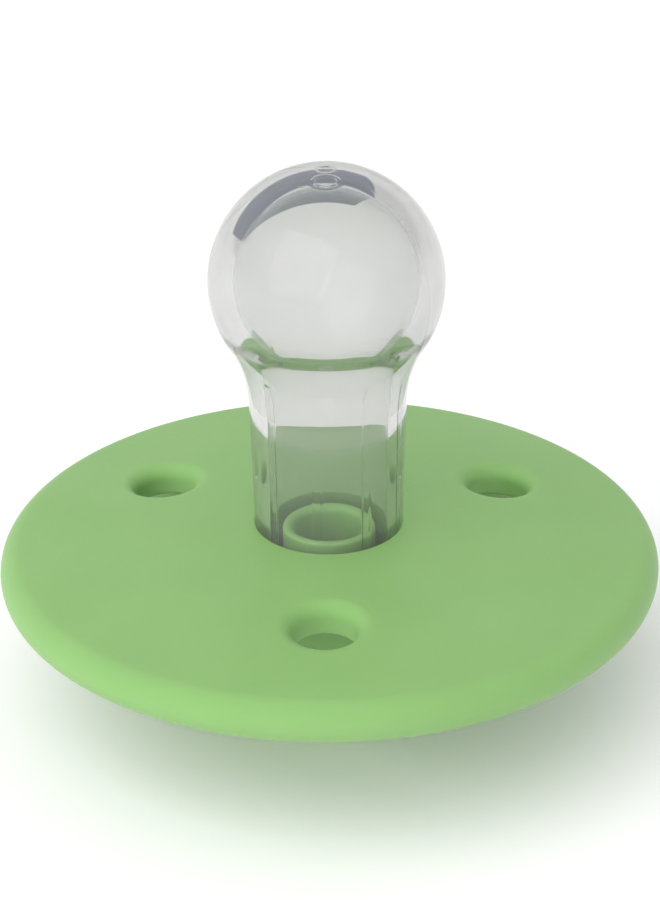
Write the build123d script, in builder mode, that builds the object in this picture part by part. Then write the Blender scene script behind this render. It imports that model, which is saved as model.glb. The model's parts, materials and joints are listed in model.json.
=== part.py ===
"""A round soother with a cherry teat: shield, silicone teat, retaining plug, back knob and ring handle.

Millimetres, +Z up. The origin is the centre of the knob's flat end, which the soother stands on, and
the teat points up along +Z. The ring handle turns about an axis along X and rests towards +Y.
"""

import os
from math import acos, asin, atan2, cos, degrees, hypot, pi, sin, sqrt

from build123d import *

# Shield: a shallow dome with a fully rounded rim, thinner inside the rim
SHIELD_DIAMETER = 43.0
SHIELD_THICKNESS = 3.0
WEB_THICKNESS = 2.1
WEB_RADIUS = 18.0
WEB_FILLET = 1.0
DOME_RADIUS = 143.0
RIM_TOP = 11.8  # height of the rim's highest circle above the standing face

# Vents through the shield, one of them towards -Y
VENT_COUNT = 3
VENT_CIRCLE_RADIUS = 12.9
VENT_RADIUS = 2.0
VENT_LIP = 1.0
VENT_BACK_EDGE = 0.3
FIRST_VENT_ANGLE = -90.0

# Boss on the shield's back, which takes the teat's flange, the plug and the knob
BORE_RADIUS = 4.8
BORE_EDGE = 0.12
BOSS_RADIUS = 7.4
BOSS_INNER_RADIUS = 6.1
BOSS_END = 6.6
BOSS_FILLET = 1.2
SEAT_HEIGHT = 10.3
SNAP_GROOVE_RADIUS = 6.5
SNAP_GROOVE_BOTTOM = 7.15
SNAP_GROOVE_HEIGHT = 0.7

# Teat: bulb, flared neck and flange, hollow, with ribs inside the neck
BULB_RADIUS = 7.5
BULB_HEIGHT = 18.25  # of the bulb's centre above RIM_TOP
FLARE_RADIUS = 9.0
NECK_TOP_RADIUS = 5.05
NECK_BASE_RADIUS = 4.76
CORE_RADIUS = 5.9
CORE_FLARE_RADIUS = 7.5
CORE_NECK_TOP_RADIUS = 3.85
CORE_NECK_RADIUS = 3.8
CORE_BASE_RADIUS = 3.05
CORE_STEP_BOTTOM = 11.4
CORE_STEP_TOP = 11.9
FLANGE_RADIUS = 5.95
FLANGE_BOTTOM = 9.1
RIB_COUNT = 8
RIB_FIRST_ANGLE = -98.7
RIB_HEIGHT = 0.04
RIB_WIDTH = 0.5
RIB_BOTTOM = 12.6
RIB_TOP = 24.5

# Plug that holds the flange against the shield, with its nose in the teat's neck
PLUG_FLANGE_RADIUS = 6.0
PLUG_BOTTOM = 8.0
PLUG_NOSE_RADIUS = 3.0
PLUG_NOSE_TOP = 13.1
PLUG_BORE_RADIUS = 2.3
PLUG_LIP = 0.45
PLUG_OUTER_EDGE = 0.2

# Knob, which closes the boss from the back and carries the ring's two pins
KNOB_RADIUS = 6.4
KNOB_SHOULDER_RADIUS = 7.2
KNOB_FACE_EDGE = 1.5
KNOB_DISH_RADIUS = 3.6
KNOB_DISH_DEPTH = 0.35
KNOB_SPIGOT_RADIUS = 6.0
KNOB_FLARE = 0.8
KNOB_CAVITY_RADIUS = 3.3
KNOB_FLOOR = 1.6
SNAP_BEAD_RADIUS = 6.4
SNAP_BEAD_HEIGHT = 0.5

# Ring handle: a round bar bent to most of a circle, with two pins pointing inwards
HINGE_HEIGHT = 4.2
HINGE_HALF_SPAN = 8.7
RING_RADIUS = 15.5
RING_BAR_RADIUS = 1.9
PIN_RADIUS = 1.1
PIN_CLEARANCE = 0.06
PIN_TIP = 4.7
SOCKET_END = 4.4

# Worked out from the above
SHIELD_RADIUS = SHIELD_DIAMETER / 2
RIM_RADIUS = SHIELD_THICKNESS / 2
DOME_CENTRE = RIM_TOP - RIM_RADIUS - sqrt(
    (DOME_RADIUS - RIM_RADIUS) ** 2 - (SHIELD_RADIUS - RIM_RADIUS) ** 2
)
BULB_CENTRE = RIM_TOP + BULB_HEIGHT
RING_CENTRE = sqrt(RING_RADIUS**2 - HINGE_HALF_SPAN**2)  # from the hinge axis
RING_DROOP = degrees(asin((HINGE_HEIGHT - RING_BAR_RADIUS) / (RING_CENTRE + RING_RADIUS)))


def dome_height(radius, depth=0.0):
    """Height of the dome's upper surface at a radius, or of the surface that lies depth below it."""
    return DOME_CENTRE + sqrt((DOME_RADIUS - depth) ** 2 - radius**2)


def on_dome(radius, angle):
    """The point at a distance from the dome's centre and an angle from the axis, in the section."""
    return (radius * sin(angle), DOME_CENTRE + radius * cos(angle))


def tangent_from(point, centre, radius):
    """Where the line from a point touches a circle that lies on its outer side, in the section."""
    dx, dz = point[0] - centre[0], point[1] - centre[1]
    turn = atan2(dz, dx) - acos(radius / hypot(dx, dz))
    return (centre[0] + radius * cos(turn), centre[1] + radius * sin(turn))


def teat_outline(bulb_radius, flare_radius, neck_radius, base):
    """The points of one wall of the teat: tip, side, end of the bulb, mid flare, end of the flare, base.

    The bulb's arc runs into the flare's arc, and that into a straight taper down to base.
    """
    reach = bulb_radius + flare_radius
    flare_centre = (
        neck_radius + flare_radius,
        BULB_CENTRE - sqrt(reach**2 - (neck_radius + flare_radius) ** 2),
    )
    share = bulb_radius / reach
    bulb_end = (
        share * flare_centre[0],
        BULB_CENTRE + share * (flare_centre[1] - BULB_CENTRE),
    )
    flare_end = tangent_from(base, flare_centre, flare_radius)
    first = atan2(bulb_end[1] - flare_centre[1], bulb_end[0] - flare_centre[0])
    last = atan2(flare_end[1] - flare_centre[1], flare_end[0] - flare_centre[0])
    middle = (first + last % (2 * pi)) / 2
    return {
        "tip": (0, BULB_CENTRE + bulb_radius),
        "side": (bulb_radius, BULB_CENTRE),
        "bulb_end": bulb_end,
        "flare_mid": (
            flare_centre[0] + flare_radius * cos(middle),
            flare_centre[1] + flare_radius * sin(middle),
        ),
        "flare_end": flare_end,
        "base": base,
    }


def wall_lines(outline):
    """Draws a teat wall from its base to its tip in the current BuildLine."""
    Line(outline["base"], outline["flare_end"])
    ThreePointArc(outline["flare_end"], outline["flare_mid"], outline["bulb_end"])
    ThreePointArc(outline["bulb_end"], outline["side"], outline["tip"])


# Shield ---------------------------------------------------------------------------------------
rim_angle = asin((SHIELD_RADIUS - RIM_RADIUS) / (DOME_RADIUS - RIM_RADIUS))
inner_depth = DOME_RADIUS - SHIELD_THICKNESS
web_depth = DOME_RADIUS - WEB_THICKNESS
web_angle = asin(WEB_RADIUS / web_depth)

with BuildPart() as shield:
    with BuildSketch(Plane.XZ):
        with BuildLine():
            top = ThreePointArc(
                (0, DOME_CENTRE + DOME_RADIUS),
                on_dome(DOME_RADIUS, rim_angle / 2),
                on_dome(DOME_RADIUS, rim_angle),
            )
            rim = ThreePointArc(
                top @ 1,
                (SHIELD_RADIUS, RIM_TOP - RIM_RADIUS),
                on_dome(inner_depth, rim_angle),
            )
            step = Line(rim @ 1, on_dome(web_depth, web_angle))
            back = ThreePointArc(
                step @ 1,
                on_dome(web_depth, web_angle / 2),
                (0, DOME_CENTRE + web_depth),
            )
            Line(back @ 1, top @ 0)
        make_face()
    revolve(axis=Axis.Z)
    step_edges = (
        shield.edges()
        .filter_by(GeomType.CIRCLE)
        .filter_by(lambda e: WEB_RADIUS - 0.01 < e.radius < SHIELD_RADIUS - RIM_RADIUS)
    )
    fillet(step_edges, WEB_FILLET)

    # Boss, filleted into the shield's back
    with BuildSketch(Plane.XY.offset(BOSS_END)):
        Circle(BOSS_RADIUS)
    extrude(until=Until.NEXT)
    boss_root = (
        shield.edges()
        .filter_by(GeomType.CIRCLE)
        .filter_by(lambda e: abs(e.radius - BOSS_RADIUS) < 0.01)
        .sort_by(Axis.Z)[-1]
    )
    fillet(boss_root, BOSS_FILLET)

    # Bore for the neck, seat for the flange, and the groove that the knob snaps into
    with BuildSketch(Plane.XY.offset(BOSS_END)):
        Circle(BORE_RADIUS)
    extrude(amount=RIM_TOP, mode=Mode.SUBTRACT)
    with BuildSketch(Plane.XY.offset(BOSS_END)):
        Circle(BOSS_INNER_RADIUS)
    extrude(amount=SEAT_HEIGHT - BOSS_END, mode=Mode.SUBTRACT)
    with BuildSketch(Plane.XY.offset(SNAP_GROOVE_BOTTOM)):
        Circle(SNAP_GROOVE_RADIUS)
    extrude(amount=SNAP_GROOVE_HEIGHT, mode=Mode.SUBTRACT)
    bore_mouth = (
        shield.edges()
        .filter_by(GeomType.CIRCLE)
        .filter_by(lambda e: abs(e.radius - BORE_RADIUS) < 0.01)
        .sort_by(Axis.Z)[-1]
    )
    fillet(bore_mouth, BORE_EDGE)

    # Vents, with a wide lip on the teat's side
    with BuildSketch(Plane.XY.offset(BOSS_END)):
        with PolarLocations(VENT_CIRCLE_RADIUS, VENT_COUNT, start_angle=FIRST_VENT_ANGLE):
            Circle(VENT_RADIUS)
    extrude(amount=RIM_TOP, mode=Mode.SUBTRACT)
    vent_walls = shield.faces().filter_by(GeomType.CYLINDER).filter_by(
        lambda f: abs(f.radius - VENT_RADIUS) < 0.01
    )
    vent_edges = [wall.edges().sort_by(Axis.Z) for wall in vent_walls]
    fillet([edges[-1] for edges in vent_edges], VENT_LIP)
    fillet([edges[0] for edges in vent_edges], VENT_BACK_EDGE)
shield.part.label = "shield"

# Teat -----------------------------------------------------------------------------------------
teat_wall = teat_outline(
    BULB_RADIUS,
    FLARE_RADIUS,
    NECK_TOP_RADIUS,
    (NECK_BASE_RADIUS, dome_height(NECK_BASE_RADIUS)),
)
core_wall = teat_outline(
    CORE_RADIUS,
    CORE_FLARE_RADIUS,
    CORE_NECK_TOP_RADIUS,
    (CORE_NECK_RADIUS, CORE_STEP_TOP),
)

with BuildPart() as teat_core:
    with BuildSketch(Plane.XZ):
        with BuildLine():
            wall_lines(core_wall)
            Polyline(
                core_wall["tip"],
                (0, FLANGE_BOTTOM),
                (CORE_BASE_RADIUS, FLANGE_BOTTOM),
                (CORE_BASE_RADIUS, CORE_STEP_BOTTOM),
                core_wall["base"],
            )
        make_face()
    revolve(axis=Axis.Z)

with BuildPart() as rib_core:
    # The core again, smaller by the height of a rib
    offset(teat_core.part, amount=-RIB_HEIGHT)

with BuildPart() as ribs:
    # Spokes, cut to what lies between the two cores
    with BuildSketch(Plane.XY.offset(RIB_BOTTOM)):
        with PolarLocations(BULB_RADIUS / 2, RIB_COUNT, start_angle=RIB_FIRST_ANGLE):
            Rectangle(BULB_RADIUS, RIB_WIDTH)
    extrude(amount=RIB_TOP - RIB_BOTTOM)
    add(teat_core.part, mode=Mode.INTERSECT)
    add(rib_core.part, mode=Mode.SUBTRACT)

with BuildPart() as teat:
    with BuildSketch(Plane.XZ):
        with BuildLine():
            wall_lines(teat_wall)
            Polyline(
                teat_wall["tip"],
                (0, FLANGE_BOTTOM),
                (FLANGE_RADIUS, FLANGE_BOTTOM),
                (FLANGE_RADIUS, SEAT_HEIGHT),
                (NECK_BASE_RADIUS, SEAT_HEIGHT),
                teat_wall["base"],
            )
        make_face()
    revolve(axis=Axis.Z)
    add(teat_core.part, mode=Mode.SUBTRACT)
    add(ribs.part)
teat.part.label = "teat"

# Plug -----------------------------------------------------------------------------------------
with BuildPart() as teat_plug:
    with BuildSketch(Plane.XY.offset(PLUG_BOTTOM)):
        Circle(PLUG_FLANGE_RADIUS)
    extrude(amount=FLANGE_BOTTOM - PLUG_BOTTOM)
    with BuildSketch(Plane.XY.offset(FLANGE_BOTTOM)):
        Circle(PLUG_NOSE_RADIUS)
    extrude(amount=PLUG_NOSE_TOP - FLANGE_BOTTOM)
    with BuildSketch(Plane.XY.offset(PLUG_BOTTOM)):
        Circle(PLUG_BORE_RADIUS)
    extrude(amount=PLUG_NOSE_TOP - PLUG_BOTTOM, mode=Mode.SUBTRACT)
    nose_edges = teat_plug.edges().group_by(Axis.Z)[-1].sort_by(SortBy.RADIUS)
    fillet(nose_edges[0], PLUG_LIP)
    fillet(nose_edges[-1], PLUG_OUTER_EDGE)
teat_plug.part.label = "teat_plug"

# Knob -----------------------------------------------------------------------------------------
bead_bottom = SNAP_GROOVE_BOTTOM + (SNAP_GROOVE_HEIGHT - SNAP_BEAD_HEIGHT) / 2

with BuildPart() as knob:
    with BuildSketch(Plane.XZ):
        with BuildLine():
            face = Line((0, 0), (KNOB_RADIUS - KNOB_FACE_EDGE, 0))
            edge = RadiusArc(face @ 1, (KNOB_RADIUS, KNOB_FACE_EDGE), -KNOB_FACE_EDGE)
            side = Line(edge @ 1, (KNOB_RADIUS, BOSS_END - KNOB_FLARE))
            flare = Line(side @ 1, (KNOB_SHOULDER_RADIUS, BOSS_END))
            Polyline(
                flare @ 1,
                (KNOB_SPIGOT_RADIUS, BOSS_END),
                (KNOB_SPIGOT_RADIUS, bead_bottom),
                (SNAP_BEAD_RADIUS, bead_bottom + SNAP_BEAD_HEIGHT / 4),
                (SNAP_BEAD_RADIUS, bead_bottom + SNAP_BEAD_HEIGHT / 2),
                (KNOB_SPIGOT_RADIUS, bead_bottom + SNAP_BEAD_HEIGHT),
                (KNOB_SPIGOT_RADIUS, PLUG_BOTTOM),
                (0, PLUG_BOTTOM),
                (0, 0),
            )
        make_face()
    revolve(axis=Axis.Z)

    # Cavity under the plug, and a shallow dish in the outer face
    with BuildSketch(Plane.XY.offset(KNOB_FLOOR)):
        Circle(KNOB_CAVITY_RADIUS)
    extrude(amount=PLUG_BOTTOM - KNOB_FLOOR, mode=Mode.SUBTRACT)
    with BuildSketch(Plane.XY):
        Circle(KNOB_DISH_RADIUS)
    extrude(amount=KNOB_DISH_DEPTH, taper=45, mode=Mode.SUBTRACT)

    # Two blind sockets for the ring's pins
    for facing in (1, -1):
        with BuildSketch(Plane.YZ.offset(facing * SOCKET_END)):
            with Locations((0, HINGE_HEIGHT)):
                Circle(PIN_RADIUS + PIN_CLEARANCE)
        extrude(amount=facing * (KNOB_RADIUS - SOCKET_END), mode=Mode.SUBTRACT)
knob.part.label = "knob"

# Ring handle ----------------------------------------------------------------------------------
ring_plane = Plane.XY.offset(HINGE_HEIGHT).rotated((-RING_DROOP, 0, 0))

with BuildPart() as ring_handle:
    with BuildLine(ring_plane) as ring_line:
        ThreePointArc(
            (HINGE_HALF_SPAN, 0),
            (0, RING_CENTRE + RING_RADIUS),
            (-HINGE_HALF_SPAN, 0),
        )
    with BuildSketch(Plane(ring_line.line @ 0, z_dir=ring_line.line % 0)):
        Circle(RING_BAR_RADIUS)
    sweep()
    for facing in (1, -1):
        with Locations((facing * HINGE_HALF_SPAN, 0, HINGE_HEIGHT)):
            Sphere(RING_BAR_RADIUS)
        with BuildSketch(Plane.YZ.offset(facing * PIN_TIP)):
            with Locations((0, HINGE_HEIGHT)):
                Circle(PIN_RADIUS)
        extrude(amount=facing * (HINGE_HALF_SPAN - PIN_TIP))
ring_handle.part.label = "ring_handle"

# Files ----------------------------------------------------------------------------------------
os.makedirs("parts", exist_ok=True)
for piece in (shield, teat, teat_plug, knob, ring_handle):
    export_step(piece.part, f"parts/{piece.part.label}.step")
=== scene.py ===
"""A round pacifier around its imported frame: shield, clear teat, plug, back knob and ring handle.

Lengths inside the shape functions are millimetres, in the CAD's own frame, and become metres where
a mesh is made. The pacifier stands on its knob, with the teat up.
"""

import json
from math import acos, asin, atan2, ceil, cos, degrees, hypot, pi, radians, sin, sqrt

import bmesh
import bpy
from mathutils import Matrix, Vector


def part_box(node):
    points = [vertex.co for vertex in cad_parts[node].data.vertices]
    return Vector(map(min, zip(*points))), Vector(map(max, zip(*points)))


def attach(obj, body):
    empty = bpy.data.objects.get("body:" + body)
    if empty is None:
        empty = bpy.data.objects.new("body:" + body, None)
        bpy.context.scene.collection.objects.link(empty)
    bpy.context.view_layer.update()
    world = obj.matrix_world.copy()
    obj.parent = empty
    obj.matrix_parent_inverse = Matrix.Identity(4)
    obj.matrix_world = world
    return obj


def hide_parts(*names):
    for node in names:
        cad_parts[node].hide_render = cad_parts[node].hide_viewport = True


MM = 0.001
FINE = 0.12  # longest step along a turned outline
COARSE = 4 * FINE  # longest step along a straight line, unless it asks for the fine one
CORNER_STEPS = 6

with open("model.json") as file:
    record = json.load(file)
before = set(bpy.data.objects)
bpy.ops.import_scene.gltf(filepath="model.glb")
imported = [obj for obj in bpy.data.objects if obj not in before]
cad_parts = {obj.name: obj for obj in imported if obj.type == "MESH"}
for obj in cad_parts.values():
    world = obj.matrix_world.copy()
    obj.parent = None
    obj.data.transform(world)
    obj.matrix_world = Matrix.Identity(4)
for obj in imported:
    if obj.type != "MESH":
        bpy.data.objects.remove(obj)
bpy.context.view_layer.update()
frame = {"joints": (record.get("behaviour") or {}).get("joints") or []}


def node_box(node):
    """A CAD node's lowest and highest corners, in millimetres."""
    low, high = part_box(node)
    return low / MM, high / MM


shield_low, shield_high = node_box("shield")
teat_low, teat_high = node_box("teat")
plug_low, plug_high = node_box("teat_plug")
knob_high = node_box("knob")[1]
ring_high = node_box("ring_handle")[1]
hinge_height = frame["joints"][0]["pos_m"][2] / MM

# Shield
SHIELD_RADIUS = shield_high.x
SHIELD_THICKNESS = 3.0
WEB_THICKNESS = 2.1
WEB_RADIUS = 18.0
DOME_RADIUS = 143.0
RIM_TOP = 11.8
RIM_RADIUS = SHIELD_THICKNESS / 2
DOME_CENTRE = RIM_TOP - RIM_RADIUS - sqrt(
    (DOME_RADIUS - RIM_RADIUS) ** 2 - (SHIELD_RADIUS - RIM_RADIUS) ** 2
)
VENT_CIRCLE_RADIUS = 12.9
VENT_RADIUS = 2.0
VENT_LIP = 1.0
VENT_BACK_EDGE = 0.3
VENT_ANGLES = (-90.0, 30.0, 150.0)
BORE_RADIUS = 4.8
BORE_EDGE = 0.12
BOSS_RADIUS = 7.4
BOSS_INNER_RADIUS = 6.1
BOSS_FILLET = 1.2
SEAT_HEIGHT = 10.3
GROOVE_RADIUS = 6.5
GROOVE_BOTTOM = 7.15
GROOVE_TOP = 7.85
BOSS_CORNER = 0.08  # radius of the corners inside the boss
EDGE = 0.18  # radius of the other small moulded edges

# Teat
SQUEEZE = 0.02  # by which the soft teat presses into the bore, and onto the plug's nose
PLUG_NOSE_RADIUS = 3.0
BULB_RADIUS = teat_high.x
BULB_CENTRE = teat_high.z - BULB_RADIUS
FLARE_RADIUS = 9.0
NECK_TOP_RADIUS = 5.05
NECK_BASE_RADIUS = BORE_RADIUS + SQUEEZE
CORE_RADIUS = 5.9
CORE_FLARE_RADIUS = 7.5
CORE_NECK_TOP_RADIUS = 3.85
CORE_NECK_RADIUS = 3.8
CORE_BASE_RADIUS = PLUG_NOSE_RADIUS - SQUEEZE
CORE_STEP_BOTTOM = 11.4
CORE_STEP_TOP = 11.9
FLANGE_RADIUS = 5.95
FLANGE_BOTTOM = teat_low.z
RIB_COUNT = 8
RIB_FIRST_ANGLE = -98.7
RIB_WIDTH = 0.5
RIB_HEIGHT = 0.04
RIB_BOTTOM = 12.6
RIB_TOP = 24.5
RIB_SHOULDER = 0.6  # as a share of half a rib's width
TIP_RING_RADIUS = 0.76  # a ring mark on the inside of the tip
TIP_RING_WIDTH = 0.2
TIP_RING_HEIGHT = 0.09
GATE_RADIUS = 0.45  # the gate's mark on the outside of the tip
GATE_WIDTH = 0.16
GATE_HEIGHT = 0.05
SEAM_ANGLE = -30.0  # the parting line's plane
SEAM_WIDTH = 0.14
SEAM_HEIGHT = 0.02
SEAM_START = 6.0  # how far below the bulb's centre the parting line begins

# Plug
PLUG_NOSE_EDGE = 0.2
PLUG_BORE_RADIUS = 2.3
PLUG_LIP = 0.45

# Knob
KNOB_RADIUS = 6.4
KNOB_SHOULDER_RADIUS = knob_high.x
KNOB_FACE_EDGE = 1.5
KNOB_DISH_RADIUS = 3.6
KNOB_DISH_DEPTH = 0.35
KNOB_WALL_TOP = 6.3
KNOB_SHOULDER_HEIGHT = 0.8
SPIGOT_RADIUS = 6.0
BEAD_RADIUS = 6.4
BEAD_HALF_WIDTH = 0.25
BEAD_HALF_FLAT = 0.12
CAVITY_RADIUS = 3.3
CAVITY_FLOOR = 1.6
CAVITY_FILLET = 0.4
SOCKET_RADIUS = 1.16
SOCKET_END = 4.4
SOCKET_PATCH_BOTTOM = 2.6

# Ring handle
HINGE_HALF_SPAN = 8.7
RING_BAR_RADIUS = 1.9
RING_RADIUS = ring_high.x - RING_BAR_RADIUS
PIN_RADIUS = 1.1
PIN_TIP = 4.7
PIN_TIP_EDGE = 0.25
PIN_END = 6.2
SWELL_START = 6.45  # where the pin begins to swell into the bar
SWELL_LENGTH = 0.75
ELBOW_LEAD = 1.3  # how far before and after its corner the elbow bends
ELBOW_PULL = 0.7  # share of that lead by which the elbow's curve follows each side
RING_SEAM = 0.03  # the parting line's height
RING_CENTRE = sqrt(RING_RADIUS**2 - HINGE_HALF_SPAN**2)
RING_DROOP = asin((hinge_height - RING_BAR_RADIUS) / (RING_CENTRE + RING_RADIUS))


# Outlines -------------------------------------------------------------------------------------
class Outline:
    """Points (radius, height) of a section, built from straight lines, arcs and rounded corners."""

    def __init__(self, radius, height):
        self.points = [(radius, height)]

    def line(self, radius, height, fine=False):
        r0, z0 = self.points[-1]
        step = FINE if fine else COARSE
        count = max(1, ceil(hypot(radius - r0, height - z0) / step))
        for i in range(1, count + 1):
            t = i / count
            self.points.append((r0 + (radius - r0) * t, z0 + (height - z0) * t))

    def arc(self, centre, radius, start, end):
        """An arc about a centre between two angles in degrees, counted from +r towards +z."""
        count = max(6, ceil(radius * radians(abs(end - start)) / FINE))
        for i in range(count + 1):
            angle = radians(start + (end - start) * i / count)
            point = (centre[0] + radius * cos(angle), centre[1] + radius * sin(angle))
            if hypot(point[0] - self.points[-1][0], point[1] - self.points[-1][1]) > 1e-4:
                self.points.append(point)

    def corner(self, radius, height, next_radius, next_height, edge=EDGE):
        """A line to a corner that edge rounds, where the outline turns towards the next point."""
        here = Vector(self.points[-1])
        tip, ahead = Vector((radius, height)), Vector((next_radius, next_height))
        inward, outward = (here - tip).normalized(), (ahead - tip).normalized()
        half = inward.angle(outward) / 2
        reach = edge / max(1e-6, abs(sin(half) / cos(half)))
        centre = tip + (inward + outward).normalized() * (edge / sin(half))
        first, last = tip + inward * reach, tip + outward * reach
        self.line(*first)
        start = atan2(first.y - centre.y, first.x - centre.x)
        sweep = atan2(last.y - centre.y, last.x - centre.x) - start
        sweep = (sweep + pi) % (2 * pi) - pi
        for i in range(1, CORNER_STEPS + 1):
            angle = start + sweep * i / CORNER_STEPS
            self.points.append((centre.x + edge * cos(angle), centre.y + edge * sin(angle)))


def dome_height(radius, depth=0.0):
    """Height of the shield's domed face, or of a surface at a depth under it."""
    return DOME_CENTRE + sqrt((DOME_RADIUS - depth) ** 2 - radius**2)


def eased(value):
    """0 to 1, with a soft start and end."""
    t = min(1.0, max(0.0, value))
    return t * t * (3 - 2 * t)


def back_height(radius):
    """Height of the shield's back, which steps down from the thin web to the thick rim."""
    across = (radius - WEB_RADIUS) / (SHIELD_RADIUS - RIM_RADIUS - WEB_RADIUS)
    step = (SHIELD_THICKNESS - WEB_THICKNESS) * eased(across)
    return dome_height(radius, WEB_THICKNESS + step)


# Meshes ---------------------------------------------------------------------------------------
def ring_of(bm, points):
    """New vertices at points that are given in millimetres."""
    return [bm.verts.new(Vector(p) * MM) for p in points]


def bridge(bm, first, second):
    """Quads between two rings of the same length."""
    count = len(first)
    for i in range(count):
        j = (i + 1) % count
        bm.faces.new((first[i], first[j], second[j], second[i]))


def around(radius, height, count):
    """Points of a level circle."""
    angles = [2 * pi * i / count for i in range(count)]
    return [(radius * cos(angle), radius * sin(angle), height) for angle in angles]


def grid_face(bm, grid, row, column):
    """The quad between two rows of a grid that goes round an axis."""
    near, far = grid[row], grid[row + 1]
    after = (column + 1) % len(near)
    bm.faces.new((near[column], near[after], far[after], far[column]))


def patch_loop(grid, columns, first_row, last_row):
    """The grid's vertices round the edge of a patch, in order."""
    rows = range(first_row, last_row + 1)
    loop = [grid[first_row][c] for c in columns]
    loop += [grid[r][columns[-1]] for r in rows][1:]
    loop += [grid[last_row][c] for c in reversed(columns)][1:]
    loop += [grid[r][columns[0]] for r in reversed(rows)][1:-1]
    return loop


def turned(bm, points, count, first=None):
    """Turns an outline round Z, from an existing ring if one is given. Returns its last ring."""
    last = first
    for radius, height in points:
        if radius < 1e-6:
            pole = bm.verts.new((0, 0, height * MM))
            if last is not None:
                for i in range(count):
                    bm.faces.new((last[i], last[(i + 1) % count], pole))
            last = pole
            continue
        ring = ring_of(bm, around(radius, height, count))
        if isinstance(last, bmesh.types.BMVert):
            for i in range(count):
                bm.faces.new((last, ring[(i + 1) % count], ring[i]))
        elif last is not None:
            bridge(bm, last, ring)
        last = ring
    return last


def finished(bm, name, *, body, node, material):
    """Makes a mesh's object: smooth, facing outwards, riding on its body in its node's place."""
    bmesh.ops.remove_doubles(bm, verts=bm.verts, dist=1e-8)
    bmesh.ops.recalc_face_normals(bm, faces=bm.faces)
    for face in bm.faces:
        face.smooth = True
    mesh = bpy.data.meshes.new(name)
    bm.to_mesh(mesh)
    bm.free()
    piece = bpy.data.objects.new(name, mesh)
    bpy.context.scene.collection.objects.link(piece)
    piece.data.materials.append(material)
    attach(piece, body)
    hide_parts(node)


# Materials ------------------------------------------------------------------------------------
NOISE_LOW, NOISE_HIGH = 0.3, 0.7  # between which most of a noise texture's values lie


def new_material(name):
    """A material, its nodes, its links and its shader."""
    material = bpy.data.materials.new(name)
    material.use_nodes = True
    nodes = material.node_tree.nodes
    return material, nodes, material.node_tree.links, nodes["Principled BSDF"]


def noise_node(nodes, links, scale, detail, coords):
    noise = nodes.new("ShaderNodeTexNoise")
    noise.inputs["Scale"].default_value = scale
    noise.inputs["Detail"].default_value = detail
    links.new(coords.outputs["Object"], noise.inputs["Vector"])
    return noise


def mapped(nodes, links, source, low, high):
    """Runs a noise value into the range low to high."""
    remap = nodes.new("ShaderNodeMapRange")
    remap.inputs["From Min"].default_value = NOISE_LOW
    remap.inputs["From Max"].default_value = NOISE_HIGH
    remap.inputs["To Min"].default_value = low
    remap.inputs["To Max"].default_value = high
    links.new(source, remap.inputs["Value"])
    return remap.outputs["Result"]


def green_plastic():
    """Moulded polypropylene: a fine spark-eroded grain, with slight changes of shade and gloss."""
    material, nodes, links, shader = new_material("green_plastic")
    coords = nodes.new("ShaderNodeTexCoord")
    grain = noise_node(nodes, links, 9000, 2, coords)
    cloud = noise_node(nodes, links, 160, 3, coords)
    ramp = nodes.new("ShaderNodeValToRGB")
    dark, light = ramp.color_ramp.elements
    dark.position, light.position = NOISE_LOW, NOISE_HIGH
    dark.color = (0.212, 0.398, 0.130, 1)
    light.color = (0.226, 0.414, 0.140, 1)
    links.new(cloud.outputs["Fac"], ramp.inputs["Fac"])
    links.new(ramp.outputs["Color"], shader.inputs["Base Color"])
    links.new(mapped(nodes, links, grain.outputs["Fac"], 0.42, 0.54), shader.inputs["Roughness"])
    bump = nodes.new("ShaderNodeBump")
    bump.inputs["Strength"].default_value = 0.06
    bump.inputs["Distance"].default_value = 0.00002
    links.new(grain.outputs["Fac"], bump.inputs["Height"])
    links.new(bump.outputs["Normal"], shader.inputs["Normal"])
    shader.inputs["IOR"].default_value = 1.49
    shader.inputs["Subsurface Weight"].default_value = 0.6
    shader.inputs["Subsurface Radius"].default_value = (0.8, 1.0, 0.5)
    shader.inputs["Subsurface Scale"].default_value = 0.0015
    return material


def clear_silicone():
    """Clear silicone rubber with a faint uneven polish, which lets the lamp's light through."""
    material, nodes, links, shader = new_material("clear_silicone")
    coords = nodes.new("ShaderNodeTexCoord")
    haze = noise_node(nodes, links, 500, 3, coords)
    links.new(mapped(nodes, links, haze.outputs["Fac"], 0.01, 0.03), shader.inputs["Roughness"])
    flow = noise_node(nodes, links, 220, 2, coords)
    bump = nodes.new("ShaderNodeBump")
    bump.inputs["Strength"].default_value = 0.03
    bump.inputs["Distance"].default_value = 0.00003
    links.new(flow.outputs["Fac"], bump.inputs["Height"])
    links.new(bump.outputs["Normal"], shader.inputs["Normal"])
    shader.inputs["Base Color"].default_value = (0.845, 0.85, 0.84, 1)
    shader.inputs["Transmission Weight"].default_value = 0.95
    shader.inputs["IOR"].default_value = 1.41
    absorption = nodes.new("ShaderNodeVolumeAbsorption")
    absorption.inputs["Color"].default_value = (0.5, 0.5, 0.49, 1)
    absorption.inputs["Density"].default_value = 120
    output = nodes["Material Output"]
    links.new(absorption.outputs["Volume"], output.inputs["Volume"])
    path = nodes.new("ShaderNodeLightPath")
    through = nodes.new("ShaderNodeBsdfTransparent")
    through.inputs["Color"].default_value = (0.87, 0.88, 0.87, 1)
    mix = nodes.new("ShaderNodeMixShader")
    links.new(path.outputs["Is Shadow Ray"], mix.inputs[0])
    links.new(shader.outputs["BSDF"], mix.inputs[1])
    links.new(through.outputs["BSDF"], mix.inputs[2])
    links.new(mix.outputs["Shader"], output.inputs["Surface"])
    return material


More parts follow.
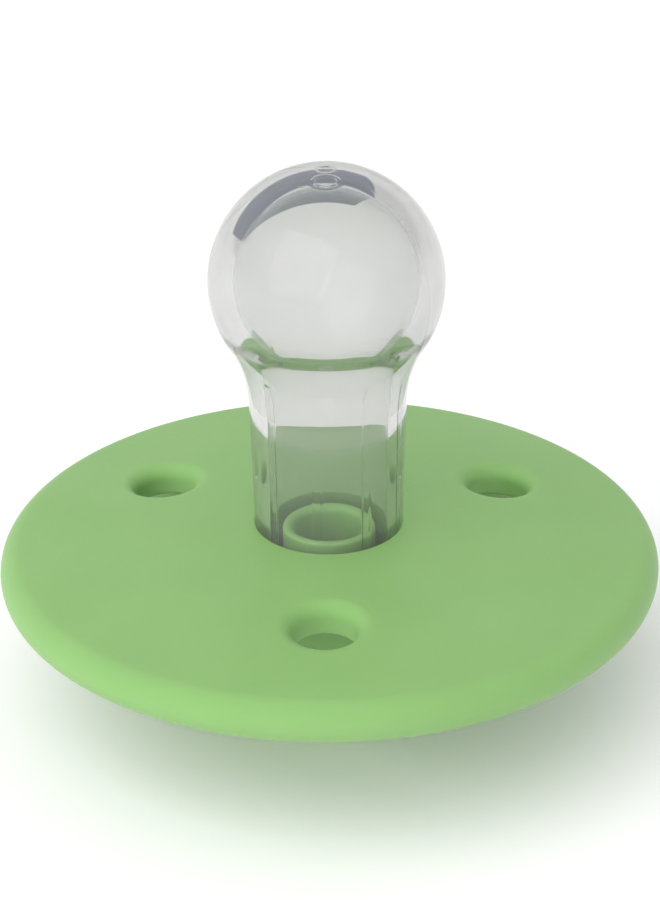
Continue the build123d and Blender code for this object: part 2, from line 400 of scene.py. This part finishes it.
def paper(name, colour):
    """Plain matt paper, with a faint tooth."""
    material, nodes, links, shader = new_material(name)
    coords = nodes.new("ShaderNodeTexCoord")
    tooth = noise_node(nodes, links, 400, 2, coords)
    bump = nodes.new("ShaderNodeBump")
    bump.inputs["Strength"].default_value = 0.02
    links.new(tooth.outputs["Fac"], bump.inputs["Height"])
    links.new(bump.outputs["Normal"], shader.inputs["Normal"])
    shader.inputs["Base Color"].default_value = (*colour, 1)
    shader.inputs["Roughness"].default_value = 0.9
    shader.inputs["Specular IOR Level"].default_value = 0.1
    return material


GREEN = green_plastic()
SILICONE = clear_silicone()


# Shield ---------------------------------------------------------------------------------------
SHIELD_STEPS = 288  # round the axis
SHIELD_GRID = 0.35  # longest radial step outside the patches
PATCH_STEPS = 32  # of the steps round the axis, across the patch about one vent
PATCH_INNER = 8.9
PATCH_OUTER = 17.2
PATCH_RADIAL_STEPS = 24
SPREAD_STEPS = 6  # rings from a patch's edge to its vent's lip
LIP_STEPS = 12
THROAT_STEPS = 8
RIM_STEPS = 48
FILLET_STEPS = 12
GAP = 0.02  # kept between an edge's last ring and the first ring of the face beside it


def vent_flare(reach, edge, throat):
    """How far a face falls away where it rolls over into a vent, at a distance from its axis."""
    if reach >= throat + edge:
        return 0.0
    across = (throat + edge - reach) / edge
    return edge * (1 - sqrt(max(0.0, 1 - across * across)))


def shield_face(bm, height_at, edge, radii):
    """One face of the shield's plate: rings of a polar grid, with a vent's rings in each patch.

    Returns the first and last full rings, and each vent's innermost ring, at its throat.
    """
    side = -1 if height_at is back_height else 1
    count = SHIELD_STEPS
    grid = [ring_of(bm, around(radius, height_at(radius), count)) for radius in radii]
    patch_first = min(range(len(radii)), key=lambda i: abs(radii[i] - PATCH_INNER))
    patch_last = min(range(len(radii)), key=lambda i: abs(radii[i] - PATCH_OUTER))
    centres = [round(angle / 360 * count) % count for angle in VENT_ANGLES]

    def in_patch(row, column):
        near = min((column - c + PATCH_STEPS // 2) % count for c in centres)
        return patch_first <= row < patch_last and near < PATCH_STEPS

    for row in range(len(radii) - 1):
        for column in range(count):
            if not in_patch(row, column):
                grid_face(bm, grid, row, column)

    throats = []
    for angle, centre in zip(VENT_ANGLES, centres):
        columns = [(centre - PATCH_STEPS // 2 + i) % count for i in range(PATCH_STEPS + 1)]
        loop = patch_loop(grid, columns, patch_first, patch_last)
        axis = Vector((cos(radians(angle)), sin(radians(angle)))) * VENT_CIRCLE_RADIUS
        away = [Vector(v.co.xy) / MM - axis for v in loop]
        lip = VENT_RADIUS + edge
        spread = [(i / SPREAD_STEPS, None) for i in range(1, SPREAD_STEPS + 1)]
        rolls = [radians(90 * i / LIP_STEPS) for i in range(1, LIP_STEPS + 1)]
        spread += [(None, VENT_RADIUS + edge * (1 - sin(roll))) for roll in rolls]
        last = loop
        for share, reach in spread:
            points = []
            for offset in away:
                size = offset.length + (lip - offset.length) * share if share else reach
                spot = axis + offset.normalized() * size
                drop = vent_flare(size, edge, VENT_RADIUS) if share is None else 0.0
                points.append((spot.x, spot.y, height_at(spot.length) - side * drop))
            ring = ring_of(bm, points)
            bridge(bm, last, ring)
            last = ring
        throats.append(last)
    return grid[0], grid[-1], throats


def rings_between(low, high, step):
    """Even values from low to high, about a step apart."""
    count = max(1, round((high - low) / step))
    return [low + (high - low) * i / count for i in range(count + 1)]


def make_shield():
    """The plate's two faces, joined through the vents, round the rim and by way of the boss."""
    bm = bmesh.new()
    rim_angle = asin((SHIELD_RADIUS - RIM_RADIUS) / (DOME_RADIUS - RIM_RADIUS))
    rim_inner = SHIELD_RADIUS - RIM_RADIUS
    patch_step = (PATCH_OUTER - PATCH_INNER) / PATCH_RADIAL_STEPS
    patch = rings_between(PATCH_INNER, PATCH_OUTER, patch_step)
    outer = rings_between(PATCH_OUTER, DOME_RADIUS * sin(rim_angle), SHIELD_GRID)[1:]

    bore_top = BORE_RADIUS + BORE_EDGE + GAP
    inner = rings_between(bore_top, PATCH_INNER, SHIELD_GRID)[:-1]
    top_first, top_last, top_throats = shield_face(bm, dome_height, VENT_LIP, inner + patch + outer)

    root = BOSS_RADIUS + BOSS_FILLET
    inner_depth = DOME_RADIUS - SHIELD_THICKNESS
    back_outer = rings_between(PATCH_OUTER, inner_depth * sin(rim_angle), SHIELD_GRID)[1:]
    back_inner = rings_between(root + GAP, PATCH_INNER, SHIELD_GRID)[:-1]
    back_first, back_last, back_throats = shield_face(
        bm, back_height, VENT_BACK_EDGE, back_inner + patch + back_outer
    )
    for top_throat, back_throat in zip(top_throats, back_throats):
        last = top_throat
        for i in range(1, THROAT_STEPS):
            t = i / THROAT_STEPS
            ring = [bm.verts.new(a.co.lerp(b.co, t)) for a, b in zip(top_throat, back_throat)]
            bridge(bm, last, ring)
            last = ring
        bridge(bm, last, back_throat)

    # Rim
    tilt = degrees(rim_angle)
    rim_height = RIM_TOP - RIM_RADIUS
    rim = []
    for i in range(1, RIM_STEPS):
        angle = radians(90 - tilt - 180 * i / RIM_STEPS)
        rim.append((rim_inner + RIM_RADIUS * cos(angle), rim_height + RIM_RADIUS * sin(angle)))
    last = turned(bm, rim, SHIELD_STEPS, top_last)
    bridge(bm, last, back_last)

    # Boss, from the shield's back down and in to the top of the bore
    fillet_height = back_height(root) - BOSS_FILLET
    fillet = []
    for i in range(1, FILLET_STEPS + 1):
        angle = radians(90 + 90 * i / FILLET_STEPS)
        fillet.append((root + BOSS_FILLET * cos(angle), fillet_height + BOSS_FILLET * sin(angle)))
    boss = Outline(*fillet[0])
    boss.points += fillet[1:]
    low = shield_low.z
    boss.corner(BOSS_RADIUS, low, BOSS_INNER_RADIUS, low)
    boss.corner(BOSS_INNER_RADIUS, low, BOSS_INNER_RADIUS, GROOVE_BOTTOM)
    boss.corner(BOSS_INNER_RADIUS, GROOVE_BOTTOM, GROOVE_RADIUS, GROOVE_BOTTOM, BOSS_CORNER)
    boss.corner(GROOVE_RADIUS, GROOVE_BOTTOM, GROOVE_RADIUS, GROOVE_TOP, BOSS_CORNER)
    boss.corner(GROOVE_RADIUS, GROOVE_TOP, BOSS_INNER_RADIUS, GROOVE_TOP, BOSS_CORNER)
    boss.corner(BOSS_INNER_RADIUS, GROOVE_TOP, BOSS_INNER_RADIUS, SEAT_HEIGHT, BOSS_CORNER)
    boss.corner(BOSS_INNER_RADIUS, SEAT_HEIGHT, BORE_RADIUS, SEAT_HEIGHT, BOSS_CORNER)
    boss.corner(BORE_RADIUS, SEAT_HEIGHT, BORE_RADIUS, RIM_TOP, BOSS_CORNER)
    edge_height = dome_height(bore_top)
    boss.corner(BORE_RADIUS, edge_height, bore_top, edge_height, BORE_EDGE)
    last = turned(bm, boss.points, SHIELD_STEPS, back_first)
    bridge(bm, last, top_first)
    finished(bm, "shield_moulding", body="soother", node="shield", material=GREEN)


# Teat -----------------------------------------------------------------------------------------
TEAT_STEPS = 480


def tangent_from(point, centre, radius):
    """Where the line from a point touches a circle that lies on its outer side, in the section."""
    dx, dz = point[0] - centre[0], point[1] - centre[1]
    turn = atan2(dz, dx) - acos(radius / hypot(dx, dz))
    return (centre[0] + radius * cos(turn), centre[1] + radius * sin(turn))


def teat_wall(wall, bulb_radius, flare_radius, neck_radius):
    """Carries a wall on up the teat to its tip: a taper, the flare's arc and the bulb's arc."""
    reach = bulb_radius + flare_radius
    flare_centre = (
        neck_radius + flare_radius,
        BULB_CENTRE - sqrt(reach**2 - (neck_radius + flare_radius) ** 2),
    )
    touch = tangent_from(wall.points[-1], flare_centre, flare_radius)
    start = degrees(atan2(touch[1] - flare_centre[1], touch[0] - flare_centre[0])) % 360
    join = degrees(atan2(BULB_CENTRE - flare_centre[1], -flare_centre[0])) % 360
    wall.line(*touch, fine=True)
    wall.arc(flare_centre, flare_radius, start, join)
    wall.arc((0, BULB_CENTRE), bulb_radius, join - 180, 90)
    wall.points[-1] = (0, BULB_CENTRE + bulb_radius)


def rib_share(angle, radius, height):
    """Share of a rib's full height at a point of the core: 1 on a rib's back, 0 off it."""
    spacing = 2 * pi / RIB_COUNT
    off = (angle - radians(RIB_FIRST_ANGLE) + spacing / 2) % spacing - spacing / 2
    half = RIB_WIDTH / 2
    over = max(0.0, height - (RIB_TOP - half), RIB_BOTTOM + half - height)
    away = hypot(off * radius, over) / half
    return eased((1 + RIB_SHOULDER / 2 - away) / RIB_SHOULDER)


def ridge(distance, width):
    """A round-backed ridge, 1 at its middle and 0 at half its width."""
    return eased(1 - abs(distance) / (width / 2))


def teat_ring(radius, height, outside):
    """One ring of the teat's skin, with its parting line or ribs, and the marks on its tip."""
    points = []
    for i in range(TEAT_STEPS):
        angle = 2 * pi * i / TEAT_STEPS
        grow = lift = 0.0
        if outside:
            if height > BULB_CENTRE - SEAM_START:
                across = radius * abs(sin(angle - radians(SEAM_ANGLE)))
                grow = SEAM_HEIGHT * ridge(across, SEAM_WIDTH)
            if height > BULB_CENTRE:
                lift = GATE_HEIGHT * ridge(radius - GATE_RADIUS, GATE_WIDTH)
        else:
            grow = -RIB_HEIGHT * rib_share(angle, radius, height)
            if height > BULB_CENTRE:
                lift = -TIP_RING_HEIGHT * ridge(radius - TIP_RING_RADIUS, TIP_RING_WIDTH)
        reach = radius + grow
        points.append((reach * cos(angle), reach * sin(angle), height + lift))
    return points


def make_teat():
    """One closed skin: out round the flange and up to the tip, and up inside from the same ring."""
    bm = bmesh.new()
    neck_height = dome_height(NECK_BASE_RADIUS)
    skin = Outline(CORE_BASE_RADIUS, SEAT_HEIGHT)
    skin.corner(CORE_BASE_RADIUS, FLANGE_BOTTOM, FLANGE_RADIUS, FLANGE_BOTTOM, edge=0.1)
    skin.corner(FLANGE_RADIUS, FLANGE_BOTTOM, FLANGE_RADIUS, SEAT_HEIGHT, edge=0.2)
    skin.corner(FLANGE_RADIUS, SEAT_HEIGHT, NECK_BASE_RADIUS, SEAT_HEIGHT, edge=0.2)
    skin.corner(NECK_BASE_RADIUS, SEAT_HEIGHT, NECK_BASE_RADIUS, neck_height, edge=0.15)
    skin.line(NECK_BASE_RADIUS, neck_height)
    teat_wall(skin, BULB_RADIUS, FLARE_RADIUS, NECK_TOP_RADIUS)
    core = Outline(CORE_BASE_RADIUS, SEAT_HEIGHT)
    core.corner(CORE_BASE_RADIUS, CORE_STEP_BOTTOM, CORE_NECK_RADIUS, CORE_STEP_TOP, edge=0.1)
    core.corner(CORE_NECK_RADIUS, CORE_STEP_TOP, CORE_NECK_RADIUS, CORE_STEP_TOP + 1, edge=0.3)
    teat_wall(core, CORE_RADIUS, CORE_FLARE_RADIUS, CORE_NECK_TOP_RADIUS)

    start = ring_of(bm, around(CORE_BASE_RADIUS, SEAT_HEIGHT, TEAT_STEPS))
    for points, outside in ((skin.points[1:], True), (core.points[1:], False)):
        last = start
        for radius, height in points[:-1]:
            ring = ring_of(bm, teat_ring(radius, height, outside))
            bridge(bm, last, ring)
            last = ring
        pole = bm.verts.new((0, 0, points[-1][1] * MM))
        for i in range(TEAT_STEPS):
            bm.faces.new((last[i], last[(i + 1) % TEAT_STEPS], pole))
    finished(bm, "teat_silicone", body="soother", node="teat", material=SILICONE)


# Plug -----------------------------------------------------------------------------------------
PLUG_STEPS = 192


def make_plug():
    """A flanged tube, whose nose has a rounded edge and a funnel in its end."""
    bm = bmesh.new()
    low, top = plug_low.z, plug_high.z
    flange = plug_high.x
    underside = PLUG_BORE_RADIUS + 0.5  # where the outline starts, left out of the rings
    plug = Outline(underside, low)
    plug.corner(flange, low, flange, FLANGE_BOTTOM)
    plug.corner(flange, FLANGE_BOTTOM, PLUG_NOSE_RADIUS, FLANGE_BOTTOM)
    plug.corner(PLUG_NOSE_RADIUS, FLANGE_BOTTOM, PLUG_NOSE_RADIUS, top, edge=0.1)
    plug.corner(PLUG_NOSE_RADIUS, top, PLUG_BORE_RADIUS, top, PLUG_NOSE_EDGE)
    plug.corner(PLUG_BORE_RADIUS, top, PLUG_BORE_RADIUS, low, PLUG_LIP)
    plug.corner(PLUG_BORE_RADIUS, low, flange, low)
    rings = [ring_of(bm, around(radius, height, PLUG_STEPS)) for radius, height in plug.points[1:]]
    for a, b in zip(rings, rings[1:] + rings[:1]):
        bridge(bm, a, b)
    finished(bm, "plug_moulding", body="soother", node="teat_plug", material=GREEN)


# Knob -----------------------------------------------------------------------------------------
KNOB_STEPS = 240
KNOB_GRID = 0.2  # longest step up its wall
SOCKET_PATCH = 36  # of the steps round the knob, across the patch about a socket
SOCKET_SPREAD_STEPS = 5
SOCKET_ROLL_STEPS = 6


def make_knob():
    """The turned cap, with a blind socket for each of the ring's pins."""
    bm = bmesh.new()
    top = knob_high.z
    shoulder = shield_low.z
    groove_mid = (GROOVE_BOTTOM + GROOVE_TOP) / 2
    face = Outline(0, KNOB_DISH_DEPTH)
    face.corner(KNOB_DISH_RADIUS - KNOB_DISH_DEPTH, KNOB_DISH_DEPTH, KNOB_DISH_RADIUS, 0, edge=0.15)
    face.corner(KNOB_DISH_RADIUS, 0, KNOB_RADIUS, 0, edge=0.12)
    face.line(KNOB_RADIUS - KNOB_FACE_EDGE, 0)
    face.arc((KNOB_RADIUS - KNOB_FACE_EDGE, KNOB_FACE_EDGE), KNOB_FACE_EDGE, -90, 0)
    last = turned(bm, face.points, KNOB_STEPS)

    # Side wall, with a patch about each socket
    heights = rings_between(KNOB_FACE_EDGE, KNOB_WALL_TOP, KNOB_GRID)
    grid = [last]
    grid += [ring_of(bm, around(KNOB_RADIUS, height, KNOB_STEPS)) for height in heights[1:]]
    first_row = next(i for i, height in enumerate(heights) if height > SOCKET_PATCH_BOTTOM)
    last_row = len(heights) - 1
    half = SOCKET_PATCH // 2
    centres = (0, KNOB_STEPS // 2)
    for row in range(len(heights) - 1):
        for column in range(KNOB_STEPS):
            near = min((column - c + half) % KNOB_STEPS for c in centres)
            if not (first_row <= row < last_row and near < SOCKET_PATCH):
                grid_face(bm, grid, row, column)
    for facing, centre in zip((1, -1), centres):
        columns = [(centre - half + i) % KNOB_STEPS for i in range(SOCKET_PATCH + 1)]
        loop = patch_loop(grid, columns, first_row, last_row)
        away = [Vector((v.co.y / MM, v.co.z / MM - hinge_height)) for v in loop]
        last = loop
        lip = SOCKET_RADIUS + EDGE
        spread = [(i / SOCKET_SPREAD_STEPS, None, 0.0) for i in range(1, SOCKET_SPREAD_STEPS)]
        for i in range(SOCKET_ROLL_STEPS + 1):
            roll = radians(90 / SOCKET_ROLL_STEPS * i)
            spread.append((None, SOCKET_RADIUS + EDGE * (1 - sin(roll)), EDGE * (1 - cos(roll))))
        for share, reach, sink in spread:
            points = []
            for offset in away:
                size = offset.length + (lip - offset.length) * share if share else reach
                spot = offset.normalized() * size
                out = sqrt(KNOB_RADIUS**2 - spot.x**2) - sink
                points.append((facing * out, spot.x, hinge_height + spot.y))
            ring = ring_of(bm, points)
            bridge(bm, last, ring)
            last = ring
        points = []
        for offset in away:
            spot = offset.normalized() * SOCKET_RADIUS
            points.append((facing * SOCKET_END, spot.x, hinge_height + spot.y))
        inner = ring_of(bm, points)
        bridge(bm, last, inner)
        bm.faces.new(inner)

    upper = Outline(KNOB_RADIUS, heights[-1])
    shoulder_low = shoulder - KNOB_SHOULDER_HEIGHT
    upper.corner(KNOB_RADIUS, shoulder_low, KNOB_SHOULDER_RADIUS, shoulder, edge=0.3)
    upper.corner(KNOB_SHOULDER_RADIUS, shoulder, SPIGOT_RADIUS, shoulder, edge=0.1)
    upper.corner(SPIGOT_RADIUS, shoulder, SPIGOT_RADIUS, groove_mid, edge=0.08)
    upper.line(SPIGOT_RADIUS, groove_mid - BEAD_HALF_WIDTH)
    upper.line(BEAD_RADIUS, groove_mid - BEAD_HALF_FLAT)
    upper.line(BEAD_RADIUS, groove_mid)
    upper.line(SPIGOT_RADIUS, groove_mid + BEAD_HALF_WIDTH)
    upper.corner(SPIGOT_RADIUS, top, CAVITY_RADIUS, top, edge=0.1)
    upper.corner(CAVITY_RADIUS, top, CAVITY_RADIUS, CAVITY_FLOOR, edge=0.1)
    upper.corner(CAVITY_RADIUS, CAVITY_FLOOR, 0, CAVITY_FLOOR, CAVITY_FILLET)
    upper.line(0, CAVITY_FLOOR)
    turned(bm, upper.points[1:], KNOB_STEPS, grid[-1])
    finished(bm, "knob_moulding", body="soother", node="knob", material=GREEN)


# Ring handle ----------------------------------------------------------------------------------
RING_ROUND = 72  # steps round the bar
TIP_STEPS = 8
SWELL_STEPS = 12
ELBOW_STEPS = 16
HALF_RING_STEPS = 110


def half_ring():
    """The bar's path from one pin's tip to the far end: (position in the ring's plane, radius)."""
    path = []
    for i in range(TIP_STEPS + 1):
        roll = radians(90 * i / TIP_STEPS)
        spot = Vector((PIN_TIP + PIN_TIP_EDGE * (1 - cos(roll)), 0))
        path.append((spot, PIN_RADIUS - PIN_TIP_EDGE * (1 - sin(roll))))
    path.append((Vector((PIN_END, 0)), PIN_RADIUS))
    for i in range(1, SWELL_STEPS + 1):
        t = i / SWELL_STEPS
        grow = (RING_BAR_RADIUS - PIN_RADIUS) * eased(t)
        path.append((Vector((SWELL_START + SWELL_LENGTH * t, 0)), PIN_RADIUS + grow))

    # Elbow, a Bezier curve from the pin's line to the ring's circle
    centre = Vector((0, RING_CENTRE))
    first_angle = atan2(-RING_CENTRE, HINGE_HALF_SPAN) + ELBOW_LEAD / RING_RADIUS
    tangent = Vector((-sin(first_angle), cos(first_angle)))
    pull = ELBOW_LEAD * ELBOW_PULL
    p0 = Vector((HINGE_HALF_SPAN - ELBOW_LEAD, 0))
    p3 = centre + RING_RADIUS * Vector((cos(first_angle), sin(first_angle)))
    p1, p2 = p0 + Vector((pull, 0)), p3 - tangent * pull
    for i in range(1, ELBOW_STEPS + 1):
        t = i / ELBOW_STEPS
        u = 1 - t
        spot = p0 * u**3 + p1 * 3 * u * u * t + p2 * 3 * u * t * t + p3 * t**3
        path.append((spot, RING_BAR_RADIUS))

    for i in range(1, HALF_RING_STEPS + 1):
        angle = first_angle + (pi / 2 - first_angle) * i / HALF_RING_STEPS
        spot = centre + RING_RADIUS * Vector((cos(angle), sin(angle)))
        path.append((spot, RING_BAR_RADIUS))
    return path


def make_ring():
    """The ring as one swept bar: a pin, an elbow, the round bar, and the same again backwards."""
    bm = bmesh.new()
    path = half_ring()
    path += [(Vector((-spot.x, spot.y)), radius) for spot, radius in reversed(path[:-1])]

    droop = Matrix.Rotation(-RING_DROOP, 3, "X")
    rings = []
    for k, (spot, radius) in enumerate(path):
        before, ahead = path[max(0, k - 1)][0], path[min(len(path) - 1, k + 1)][0]
        along = (ahead - before).normalized()
        side = Vector((along.y, -along.x))
        points = []
        for i in range(RING_ROUND):
            angle = 2 * pi * i / RING_ROUND
            on_seam = i % (RING_ROUND // 2) == 0 and radius == RING_BAR_RADIUS
            reach = radius if on_seam else radius - RING_SEAM
            flat = spot + side * (reach * cos(angle))
            point = droop @ Vector((flat.x, flat.y, reach * sin(angle)))
            points.append(point + Vector((0, 0, hinge_height)))
        rings.append(ring_of(bm, points))
    for a, b in zip(rings, rings[1:]):
        bridge(bm, a, b)
    for ring in (rings[0], rings[-1]):
        bm.faces.new(ring)
    finished(bm, "ring_bar", body="ring", node="ring_handle", material=GREEN)


make_shield()
make_teat()
make_plug()
make_knob()
make_ring()


# Studio ---------------------------------------------------------------------------------------
def add_card(name, corners, material):
    """A flat card of the studio's, which isn't part of the object."""
    bm = bmesh.new()
    bm.faces.new([bm.verts.new(corner) for corner in corners])
    mesh = bpy.data.meshes.new(name)
    bm.to_mesh(mesh)
    bm.free()
    card = bpy.data.objects.new(name, mesh)
    bpy.context.scene.collection.objects.link(card)
    mesh.materials.append(material)
    return card


def add_floor():
    """The plain pale floor."""
    half = 1.5
    low = -0.02 * MM  # just under the knob's face
    corners = [(-half, -half, low), (half, -half, low), (half, half, low), (-half, half, low)]
    add_card("floor", corners, paper("white_paper", (0.93, 0.93, 0.93)))


def add_light(name, position, target, side, power):
    """A square white soft box, which glossy rays don't see."""
    data = bpy.data.lights.new(name, "AREA")
    data.shape = "SQUARE"
    data.size = side
    data.energy = power
    light = bpy.data.objects.new(name, data)
    light.location = position
    light.rotation_euler = (Vector(target) - Vector(position)).to_track_quat("-Z", "Y").to_euler()
    light.visible_glossy = False
    bpy.context.scene.collection.objects.link(light)


def add_world(strength):
    """An even white surround."""
    world = bpy.data.worlds.new("studio")
    world.use_nodes = True
    background = world.node_tree.nodes["Background"]
    background.inputs["Color"].default_value = (1, 1, 1, 1)
    background.inputs["Strength"].default_value = strength
    bpy.context.scene.world = world


def add_dark_card():
    """A dark card behind the object, which shows only through the teat's wall."""
    behind, low, high = 0.15, 0.012, 0.11
    spots = [(-0.09, low), (0.013, low), (0.075, high), (-0.3, high)]
    corners = [(x, behind, z) for x, z in spots]
    card = add_card("dark_card", corners, paper("dark_paper", (0.12, 0.14, 0.19)))
    card.visible_camera = False
    card.visible_diffuse = False
    card.visible_glossy = False
    card.visible_shadow = False


KEY_POSITION = (-0.456, -0.656, 0.6)
KEY_TARGET = (0, 0, 0.015)
KEY_SIDE = 1.4
KEY_POWER = 12.5
WORLD_STRENGTH = 0.8
CLEAR_BOUNCES = 24  # enough for light through all the silicone's surfaces
GLOSSY_BOUNCES = 12
CAMERA_ELEVATION = radians(28.38)
CAMERA_DISTANCE = 0.2030
CAMERA_AZIMUTH = radians(1.4)
CAMERA_ROLL = radians(0.56)
CAMERA_LENS = 124.1  # on a sensor 36 mm wide
AIM = Vector((0.00011, 0, RIM_TOP * MM + 0.00633))


def add_camera():
    """The camera, at a distance from the middle of the shield's rim, turned and rolled a little."""
    data = bpy.data.cameras.new("camera")
    data.sensor_width = 36
    data.lens = CAMERA_LENS
    data.clip_start = 0.01
    data.clip_end = 10
    camera = bpy.data.objects.new("camera", data)
    flat = CAMERA_DISTANCE * cos(CAMERA_ELEVATION)
    origin = Vector((0, 0, RIM_TOP * MM))
    place = Vector((0, -flat, CAMERA_DISTANCE * sin(CAMERA_ELEVATION))) + origin
    turn = Matrix.Rotation(CAMERA_AZIMUTH, 3, "Z")
    place, aim = turn @ place, turn @ AIM
    aimed = (aim - place).to_track_quat("-Z", "Y").to_matrix()
    camera.matrix_world = Matrix.Translation(place) @ (
        aimed @ Matrix.Rotation(-CAMERA_ROLL, 3, "Z")
    ).to_4x4()
    bpy.context.scene.collection.objects.link(camera)
    bpy.context.scene.camera = camera


add_floor()
add_world(WORLD_STRENGTH)
add_light("key", KEY_POSITION, KEY_TARGET, KEY_SIDE, KEY_POWER)
add_dark_card()
add_camera()
scene = bpy.context.scene
scene.view_settings.view_transform = "Standard"
scene.view_settings.look = "None"
scene.cycles.use_denoising = True
scene.cycles.max_bounces = CLEAR_BOUNCES
scene.cycles.transmission_bounces = CLEAR_BOUNCES
scene.cycles.glossy_bounces = GLOSSY_BOUNCES
